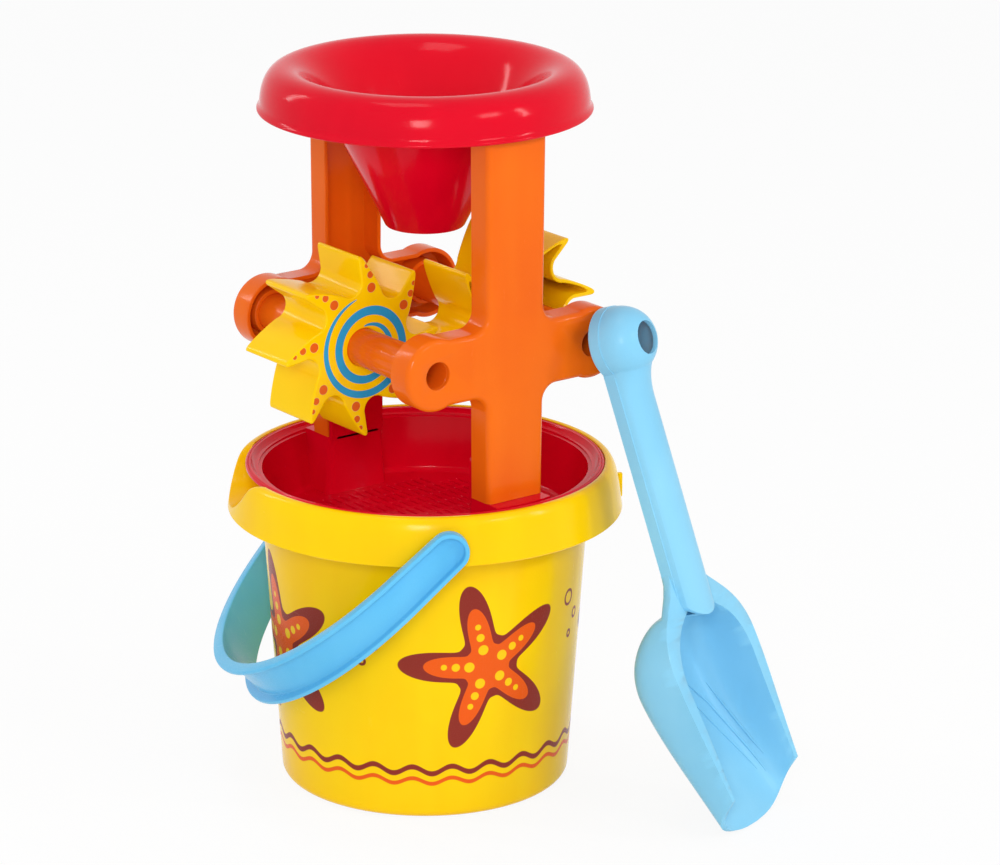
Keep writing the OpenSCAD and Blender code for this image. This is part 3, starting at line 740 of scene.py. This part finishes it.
def sieveTray():
    look = trayLook
    s, f, top, seat, soft = look["sieve"], look["flange"], look["top"], look["seat"], look["rimRound"]
    under, foot = s - look["thick"], look["footRound"]
    profile = [(0, under)] + arc(look["foot"] - foot, under + foot, foot, -90, -11, 5)
    profile += [(look["wall"], seat), (f - 0.4, seat), (f, seat + 0.4)]
    profile += arc(f - soft, top - soft, soft, 0, 90, 6) + [(f - 1.25, top - 0.35), (f - 1.6, top)]
    # a groove round the flange runs down into the dish
    profile += arc(*look["groove"], -32.9, -86.2, 14)
    profile += arc(look["foot"] - 4.7, s + 3, 3, 0, -90, 8) + [(0, s)]
    dish = tidy(spin("trayDish", profile, 200))
    half, (front, rear) = look["tongueHalf"], look["tongueY"]
    parts = []
    for side in (0, 1):
        tongue = roundBox("trayTongue", (-half, front, look["blockZ"] - 1), (half, rear, look["plateTop"]), 1)
        pieces = [block("trayBlock"), apron("trayApron"), tongue]
        for piece in pieces:
            turnZ(piece, 180 * side)
        parts += pieces
    cut(dish, sieveSlots())
    return tidy(join("sieveTray", dish, *parts), 40)


place(sieveTray(), "mill", redPaint, "sieve_tray")

funnelLook = {"lip": 75.0, "lipZ": 313.3, "top": 333.0, "thick": 2.0, "outletR": 18.0, "outletZ": 260.0,
              "crest": 62.0, "sleeveY": 55.6, "sleeveDepth": 10.2, "sleeveHalf": 13.0, "sleeveFoot": 304.0,
              "ribX": 15.2, "ribFoot": 318.1, "rim": 0.55, "bead": 0.9, "sleeveWall": 1.8,
              "sleeveInside": 1.6, "sleeveTop": 334}


def funnel():
    look = funnelLook
    top, rim, bead, outlet = look["top"], look["rim"], look["bead"], look["outletR"]
    inner, crest = (look["crest"], top - look["thick"]), (look["crest"], top)
    # up the underside to the crest, down to the lip, and back over the upper side
    profile = [(outlet - rim, look["outletZ"]), (outlet, look["outletZ"] + rim)]
    profile += bend((44.2, 313), (49, 322.5), (54, inner[1]), inner, 20)
    profile += bend(inner, (67.4, inner[1]), (71.3, 326), (71.7, 316.4), 20)
    # the lip ends in a small rounded bead
    profile += [(72.6, 314.0)] + arc(look["lip"] - bead, look["lipZ"] + bead, bead, -120, 60, 8)
    profile += bend((73.75, 316.4), (73.3, 326.8), (69.4, top), crest, 24)
    profile += bend(crest, (53, top), (46.6, 322), (42, 313), 24)
    profile += [(outlet - 2.2, look["outletZ"] + rim), (outlet - 1.7, look["outletZ"])]
    bowl = tidy(spin("funnelBowl", profile, 220), 40)
    # what is inside the crest; sleeves and ribs are trimmed to it
    inside = [(48, 290), (71, 290), (71, 320)] + bend((70.8, 322), (68, 329), (66, top - 1), (62, top - 1), 8)
    inside += [(56, top - 2), (48, 318.4)]
    half, y, deep, wall = look["sleeveHalf"], look["sleeveY"], look["sleeveDepth"], look["sleeveWall"]
    foot, high = look["sleeveFoot"], look["sleeveTop"]
    parts = []
    for side in (0, 1):
        outer = roundBox("funnelSleeve", (-half, y, foot), (half, y + deep, high), 0.8)
        hollow = roundBox("sleeveHollow", (wall - half, y + look["sleeveInside"], foot - 2),
                          (half - wall, y + deep - wall, high - 2), 0.5)
        cut(outer, hollow)
        ribs = [roundBox("funnelRib", (x, y - 3, look["ribFoot"]), (x + wall, y + 13, high), 0.3)
                for x in (-look["ribX"], look["ribX"] - wall)]
        for piece in (outer, *ribs):
            turnZ(piece, 180 * side)
            cut(piece, tidy(spin("funnelInside", inside, 120)), operation="INTERSECT")
            parts.append(piece)
    return tidy(join("funnel", bowl, *parts), 40)


place(funnel(), "funnel", redPaint, "funnel")


bucketLook = {"foot": 66.2, "neck": 74.5, "footRound": 4.2, "floor": 2.2, "wall": 1.8, "skirtR": 90.0,
              "skirtZ": 128.2, "rimZ": 149.6, "flareR": 80.4, "seatR": 82.1, "seatZ": 147.4,
              "spout": 150.0, "spoutR": 30.0, "spoutZ": 131.0, "shoulder": 9.0, "columns": 540,
              "pivot": 240.0, "pivotZ": 137.0, "pivotR": 4.06, "bossR": 7.0,
              "finR": 91.0, "finHalf": 1.2, "finTop": 139.5, "neckIn": 72.7, "neckInZ": 127.6,
              "insideFoot": 5.0, "crowding": 24, "melt": 0.45}


def spoutHeight(d):
    # height of the rim's top at a distance d from the middle of the spout
    look = bucketLook
    centreZ, r, s, rim = look["spoutZ"] + look["spoutR"], look["spoutR"], look["shoulder"], look["rimZ"]
    shoulderX = math.sqrt((r + s) ** 2 - (centreZ - rim + s) ** 2)
    d = abs(d)
    if d < shoulderX * r / (r + s):
        return centreZ - math.sqrt(r * r - d * d)
    if d < shoulderX:
        return rim - s + math.sqrt(s * s - (shoulderX - d) ** 2)
    return rim + 1


def bucketRows():
    # up the outside, over the rim and down the inside, each row with how far it stays below the
    # spout's edge; the spout doesn't bend a row that is still
    look = bucketLook
    foot, neck, low, skirt = look["foot"], look["neck"], look["footRound"], look["skirtZ"]
    wall, seat, seatZ, rim = look["wall"], look["seatR"], look["seatZ"], look["rimZ"]
    still, under, over = None, 2.0, 0.0
    kept = lambda below, points: [(r, z, below) for r, z in points]
    rows = [(0.0, 0.0, still), (40.0, 0.0, still)] + kept(still, arc(foot - low, low, low, -90, 0, 8))
    rows += [(foot + (neck - foot) * i / 6, low + (skirt - low) * i / 6, still) for i in range(1, 7)]
    rows += [(77.4, 137, under), (look["flareR"], seatZ - wall, under)]
    rows += kept(under, bend((83, 145.6), (86.2, 145.6), (86.7, 135), (88.3, skirt + 0.2), 12))
    rows += [(88.8, skirt, still), (89.6, skirt, still)]
    rows += kept(over, bend((look["skirtR"], skirt + 0.4), (88.6, 136), (88.2, rim), (83.4, rim), 22))
    rows += [(82.5, rim, over), (seat, rim - 0.3, over), (seat, seatZ, over), (78.9, seatZ, over),
             (78.3, seatZ - 0.5, over), (75.6, 137, over), (look["neckIn"], look["neckInZ"], over)]
    inside, start = foot - wall, look["insideFoot"]
    rows += [(inside + (look["neckIn"] - inside) * i / 5, start + (look["neckInZ"] - start) * i / 5, still)
             for i in range(4, -1, -1)]
    rows += kept(still, arc(foot - low + 0.2, look["floor"] + 3, 3, -10, -90, 6))
    return rows + [(0.0, look["floor"], still)]


def bucketBody():
    look = bucketLook
    count, soft, rows = look["columns"], look["melt"], bucketRows()
    n = len(rows)
    points, faces = [], []
    for k in range(count):
        # columns lie closer together round the spout
        even = 360 * k / count
        azimuth = look["spout"] + even - look["crowding"] * sin(even)
        lean = azimuth - look["spout"]
        for r, z, below in rows:
            if below is not None and cos(lean) > 0:
                # z melts into the spout's edge, whichever is lower
                edge = spoutHeight(r * sin(lean)) - below
                low = min(z, edge)
                z = low - soft * math.log(math.exp((low - z) / soft) + math.exp((low - edge) / soft))
                if edge > look["rimZ"] - 0.02 - below and z > edge - 2:
                    z = low
            points.append((r * cos(azimuth), r * sin(azimuth), z))
    for k in range(count):
        a, b = k * n, ((k + 1) % count) * n
        faces += [(a + i, b + i, b + i + 1, a + i + 1) for i in range(n - 1)]
    return tidy(makeObject("bucketBody", points, faces), 40)


def bucket():
    # the body with its two pivot bosses, their holes and the fin under the rim
    look = bucketLook
    body, holes, bosses = bucketBody(), [], []
    z, pivotR = look["pivotZ"], look["pivotR"]
    for side in (0, 180):
        turn = Matrix.Rotation(math.radians(look["pivot"] + side), 4, "Z")
        hole = rod("pivotHole", pivotR, (0, 76, z), (0, 96, z))
        boss = rod("pivotBoss", look["bossR"], (0, 78.5, z), (0, 87.2, z), 0.5)
        cut(boss, rod("bossHole", pivotR, (0, 70, z), (0, 96, z)))
        for piece in (hole, boss):
            turnMesh(piece, turn @ Matrix.Rotation(-math.pi / 2, 4, "Z"))
        holes.append(hole)
        bosses.append(boss)
    cut(body, *holes)
    fin = roundBox("rimFin", (86.5, -look["finHalf"], look["skirtZ"]),
                   (look["finR"], look["finHalf"], look["finTop"]), 0.5)
    turnZ(fin, look["pivot"] + 90)
    return tidy(join("bucketWithSpout", body, fin, *bosses), 40)


place(bucket(), "bucket", yellowPaint, "bucket")

shovelLook = {"length": 222.6, "headR": 16.5, "holeR": 7.5, "dome": 16.0, "handleW": 23.0, "handleD": 5.6,
              "troughL": 117.0, "troughW": 71.2, "troughD": 31.0, "mouthW": 55.6,
              "foot": (78.0, -144.5, 4.54),
              "lean": 18.5, "yaw": 25.5, "twist": -5.3, "rimY": -12.4, "rimSlope": 0.12, "lipZ": 15.0,
              "bow": 4.0, "square": 0.45, "thick": 2.0, "fade": 40.0, "rear": 72.0, "floorRound": 84.0,
              "mouthEnd": 101.0, "tongue": 22.4, "neckR": 10.0, "ribR": 0.75, "across": 60, "along": 28,
              "backEnd": 28.4, "floorEnd": 26.0, "edge": 0.6, "mouldLine": 0.35, "headRim": 6.0,
              "ribs": (((10.6, 60.6), (17.3, 49.2), (20.6, 36.5), (23.0, 24.2), (24.0, 12.0)),
                       ((21.5, 57.3), (24.0, 41.3), (25.4, 28.5), (26.2, 19.0)),
                       ((9.3, 49.7), (15.0, 36.0), (18.8, 24.5), (21.0, 14.1)))}


def lookup(value, curve):
    # height of a curve of (place, height) points at a place
    for (a, p), (b, q) in zip(curve, curve[1:]):
        if value <= b:
            return p + (q - p) * max(0, value - a) / (b - a) if b > a else q
    return curve[-1][1]


def troughCurves():
    # half width at the rim, depth, and half width of the hollow, each along the trough
    look = shovelLook
    half, end, deep, mouth = look["troughW"] / 2, look["handleW"] / 2, look["troughD"], look["mouthW"] / 2
    rim = bend((-10, half * .81), (30, half * .84), (52, half), (76, half), 24)
    rim += bend((76, half), (100, half), (106, end), (look["troughL"], end), 30)
    depth = bend((-10, deep * .43), (23, deep * .76), (45, deep - 1), (65, deep), 24)
    depth += bend((65, deep), (80, deep + 1), (100, 17), (100.2, 6), 30) + [(look["troughL"], 6)]
    inside = bend((-10, mouth), (20, mouth - .2), (45, mouth - .2), (68, mouth + 1), 20)
    inside += bend((68, mouth + 1), (88, mouth + 1), (97, 16), (look["mouthEnd"], 0.4), 30)
    return rim, depth, inside


def trough():
    look = shovelLook
    rim, depth, inside = troughCurves()
    square, floorStart = look["square"], look["floorRound"]

    def boxy(w, d, z, a):
        # a point of the half-round section, squared off
        c, s = cos(a), max(sin(a), 0)
        y = look["rimY"] + look["rimSlope"] * z + d * s ** square
        return (w * math.copysign(abs(c) ** square, c), y, z)

    def station(z, a):
        # the lip slants, and bows forward in its middle
        c, s = abs(cos(a)) ** square, max(sin(a), 0) ** square
        lip = look["lipZ"] * (1 - s) - look["bow"] * (1 - c * c) * s
        return z + lip * max(0, 1 - z / look["fade"])

    def outer(z, a):
        h = station(z, a)
        return boxy(lookup(h, rim), lookup(h, depth), h, a)

    def inner(z, a):
        h = station(z, a)
        k = max(0, h - floorStart) / (look["mouthEnd"] + 0.4 - floorStart)
        deep = (lookup(h, depth) - look["thick"]) * math.sqrt(max(0, 1 - k * k))
        return boxy(lookup(h, inside), deep, h, a)

    turns = [180 * i / look["across"] for i in range(look["across"] + 1)]
    rows = [look["rear"] * i / look["along"] for i in range(look["along"] + 1)]
    # rows crowd towards the end, where the floor turns up
    crowd = [sin(90 * i / 18) for i in range(1, 19)]
    outerRows = rows + [look["rear"] + look["backEnd"] * k for k in crowd]
    outerRows += [103.5, 108, 112.5, look["troughL"]]
    innerRows = rows + [look["rear"] + look["floorEnd"] * k for k in crowd]
    innerRows += [98.8, 99.6, 100.4, look["mouthEnd"]]
    rings = [[outer(zo, a) for a in turns] + [inner(zi, a) for a in reversed(turns)]
             for zo, zi in zip(outerRows, innerRows)]
    n = len(rings[0])
    points = [p for ring in rings for p in ring]
    faces = [(i * n + j, (i + 1) * n + j, (i + 1) * n + (j + 1) % n, i * n + (j + 1) % n)
             for i in range(len(rings) - 1) for j in range(n)]
    last = (len(rings) - 1) * n
    for j in range(n // 2 - 1):
        faces.append((j, j + 1, n - 2 - j, n - 1 - j))
        faces.append(tuple(last + k for k in (n - 1 - j, n - 2 - j, j + 1, j)))
    piece = tidy(makeObject("shovelTrough", points, faces), 30)
    return tidy(edged(piece, look["edge"], 50), 40)


def handleBar():
    # arch section with straight sides, open at the back; its foot ends round over the trough
    look = shovelLook
    foot, length, half = look["troughL"] - look["tongue"], look["length"], look["handleW"] / 2

    def section(t, back, wide=0.0, deep=1.0):
        # the front half is a little narrower, which leaves the line of the mould
        w, step, low = half - t + wide, 0.0 if t else look["mouldLine"], (-7 + t) * deep
        front = bend((w - step, 0), (w * 0.92 - step, (-4.4 + t * 0.6) * deep), (w * 0.5, low), (0, low), 14)
        side = [(w, back), (w, 0.15)] + front
        return side + [(-x, y) for x, y in reversed(side[:-1])]

    # stations along the bar; it widens in a hollow round at the neck
    fillet, reach = look["neckR"], look["headR"] + look["neckR"]
    start = length - math.sqrt(reach ** 2 - (half + fillet) ** 2)
    stations = [(foot, 0.0, 1.0), (start - 12, 0.0, 1.0)]
    for i in range(1, 13):
        z = start - 12 + i * 1.5
        rise = max(0, min(z - start, fillet - 0.01))
        stations.append((z, fillet - math.sqrt(fillet ** 2 - rise ** 2), 1 + 0.9 * (i / 12) ** 2))
    stations.append((length, stations[-1][1], 1.9))
    bar = loft("handleBar", [[(x, y, z) for x, y in section(0, look["handleD"], wide, deep)]
                             for z, wide, deep in stations])
    hollow = loft("handleHollow", [[(x, y, z) for x, y in section(2, look["handleD"] + 1)]
                                   for z in (foot + 2, length + 1)])
    outline = arc(0, foot + half, half, 180, 360, 40) + [(half, length + 2), (-half, length + 2)]
    rounder = loft("handleEnd", [[(x, y, z) for x, z in outline] for y in (20, -20)])
    for piece in (bar, hollow, rounder):
        tidy(piece)
    cut(bar, rounder, operation="INTERSECT")
    return cut(bar, hollow)


def floorRibs():
    # three low ribs on the trough's floor, given by (across, along)
    look = shovelLook
    depth, inside = troughCurves()[1:]
    ribs = []
    for path in look["ribs"]:
        rings = []
        for i, (x, z) in enumerate(path):
            rise = (1 - (x / lookup(z, inside)) ** (2 / look["square"])) ** (look["square"] / 2)
            y = look["rimY"] + look["rimSlope"] * z + (lookup(z, depth) - look["thick"]) * rise
            size = look["ribR"] * (0.35 if i in (0, len(path) - 1) else 1)
            rings.append([(x + size * cos(a), y - size * sin(a), z) for a in range(0, 360, 30)])
        ribs.append(tidy(loft("floorRib", rings)))
    return ribs


def dome(r, h):
    # from the head's rim to its middle, as (radius, y)
    curve = bend((r, 0), (r, h * 0.6), (r * 0.62, h), (r * 0.2, h), 16)
    return [(a, -b) for a, b in curve[1:]] + [(0, -h)]


def shovel():
    look = shovelLook
    z, r, h, rim, o = look["length"], look["headR"], look["dome"], look["headRim"], look["holeR"]
    head = lathe("shovelHead", [(0, rim), (r - 0.8, rim), (r, rim - 0.8), (r, 0.1), (r - 0.3, 0)]
                 + dome(r - 0.3, h), 0, z, 96)
    hollow = lathe("headHollow", [(0, rim + 1), (r - 2, rim + 1), (r - 2, 0)] + dome(r - 2, h - 2), 0, z, 96)
    # the hole's front edge is rounded
    hole = lathe("headHole", [(0, 20), (o, 20), (o, 1.0 - h), (o + 0.25, 0.4 - h), (o + 1, -h - 0.02),
                              (o + 1, -h - 4), (0, -h - 4)], 0, z, 72)
    bar = handleBar()
    cut(bar, head, operation="UNION")
    cut(bar, hollow, hole)
    piece = tidy(join("beachShovel", trough(), bar, *floorRibs()), 38)
    turnMesh(piece, Matrix.Translation(Vector(look["foot"]) * mm)
             @ Matrix.Rotation(math.radians(look["yaw"]), 4, "Z")
             @ Matrix.Rotation(math.radians(-look["lean"]), 4, "X")
             @ Matrix.Rotation(math.radians(look["twist"]), 4, "Z"))
    return piece


place(shovel(), "shovel", bluePaint, "shovel")


def softened(name, node, width):
    # a copy of a CAD solid, merged, with its edges rounded
    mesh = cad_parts[node].data.copy()
    mesh.name = name
    piece = bpy.data.objects.new(name, mesh)
    bpy.context.scene.collection.objects.link(piece)
    work = bmesh.new()
    work.from_mesh(mesh)
    bmesh.ops.remove_doubles(work, verts=work.verts, dist=0.00003)
    bmesh.ops.dissolve_limit(work, angle_limit=math.radians(0.6), verts=work.verts, edges=work.edges)
    bmesh.ops.recalc_face_normals(work, faces=work.faces)
    work.to_mesh(mesh)
    work.free()
    return tidy(edged(piece, width, 35), 40, 0.000005)


place(softened("carryBail", "bail_handle", 0.6), "bail", bailPaint, "bail_handle")

print("pieces made")

stageLook = {"floor": linear(246, 246, 246), "grain": linear(243, 243, 243), "white": (1, 1, 1, 1),
             "paper": 0.9, "floorZ": -0.4, "floorHalf": 3000, "room": 0.62}
# each light: where it stands, what it points at, its width and height, and its power
lightLooks = {"keyLight": ((0.35, -1.7, 1.25), (0, 0, 0.17), (0.45, 0.32), 4.5),
              "fillLight": ((-1.25, -1.5, 0.95), (0, 0, 0.17), (0.4, 0.5), 13.0),
              "topLight": ((-0.2, 0.1, 1.9), (0, 0, 0.17), (0.6, 0.5), 3.5),
              "stripLight": ((-0.75, 1.25, 1.0), (0, 0, 0.3), (0.12, 0.7), 3.5),
              "sideStripLight": ((0.9, -1.2, 0.9), (0, 0, 0.25), (0.1, 0.5), 3.5)}


def lookedAt(paint):
    # 1 for what the camera sees, directly, in gloss or through something clear
    path = paint.raw("ShaderNodeLightPath")
    kinds = ("Is Camera Ray", "Is Glossy Ray", "Is Transmission Ray")
    rays = [Wire(paint, path.outputs[kind]) for kind in kinds]
    return rays[0].most(rays[1]).most(rays[2])


def floorPaint():
    # pale paper; the camera sees it nearly white, with the shadow of the toy
    look, paint = stageLook, Paint("paleFloor")
    grain = paint.noise(40, 3)
    colour = paint.mix(grain, look["floor"], look["grain"])
    relief = paint.node("ShaderNodeBump", None, {"Strength": 0.02, "Height": grain})
    shader = paint.node("ShaderNodeBsdfPrincipled", None,
                        {"Base Color": colour, "Roughness": grain * 0.1 + 0.6, "Normal": relief})
    light = paint.node("ShaderNodeEmission", None, {"Color": look["white"], "Strength": 1.0})
    both = paint.node("ShaderNodeMixShader", None, {0: lookedAt(paint) * look["paper"], 1: shader, 2: light})
    paint.raw("ShaderNodeOutputMaterial", None, {0: both})
    return paint.material


wide = stageLook["floorHalf"]
floor = makeObject("floor", [(x, y, stageLook["floorZ"])
                             for x, y in ((-wide, -wide), (wide, -wide), (wide, wide), (-wide, wide))],
                   [(0, 1, 2, 3)])
floor.data.materials.append(floorPaint())

for name, (spot, aim, size, power) in lightLooks.items():
    light = bpy.data.lights.new(name, "AREA")
    light.shape, light.size, light.size_y, light.energy = "RECTANGLE", size[0], size[1], power
    lamp = bpy.data.objects.new(name, light)
    lamp.location = spot
    lamp.rotation_euler = (Vector(aim) - Vector(spot)).to_track_quat("-Z", "Y").to_euler()
    bpy.context.scene.collection.objects.link(lamp)

world = bpy.data.worlds.new("studio")
bpy.context.scene.world = world
world.use_nodes = True
world.node_tree.nodes.clear()
sky = Paint("sky", world.node_tree)
room = sky.node("ShaderNodeBackground", None, {0: stageLook["white"], 1: stageLook["room"]})
paper = sky.node("ShaderNodeBackground", None, {0: stageLook["white"], 1: 1.0})
sky.raw("ShaderNodeOutputWorld", None,
        {0: sky.node("ShaderNodeMixShader", None, {0: lookedAt(sky), 1: room, 2: paper})})

viewLook = {"turn": 36.48, "pitch": 17.68, "distance": 1.94917, "height": 0.78326, "lens": 162.04,
            "shift": 0.075}
lens = bpy.data.cameras.new("camera")
lens.lens, lens.sensor_width, lens.shift_x = viewLook["lens"], 36, viewLook["shift"]
lens.clip_start, lens.clip_end = 0.05, 50
camera = bpy.data.objects.new("camera", lens)
camera.location = (-sin(viewLook["turn"]) * viewLook["distance"],
                   -cos(viewLook["turn"]) * viewLook["distance"], viewLook["height"])
camera.rotation_euler = (math.radians(90 - viewLook["pitch"]), 0, math.radians(-viewLook["turn"]))
bpy.context.scene.collection.objects.link(camera)
bpy.context.scene.camera = camera
bpy.context.scene.view_settings.view_transform = "Standard"
print("stage set")
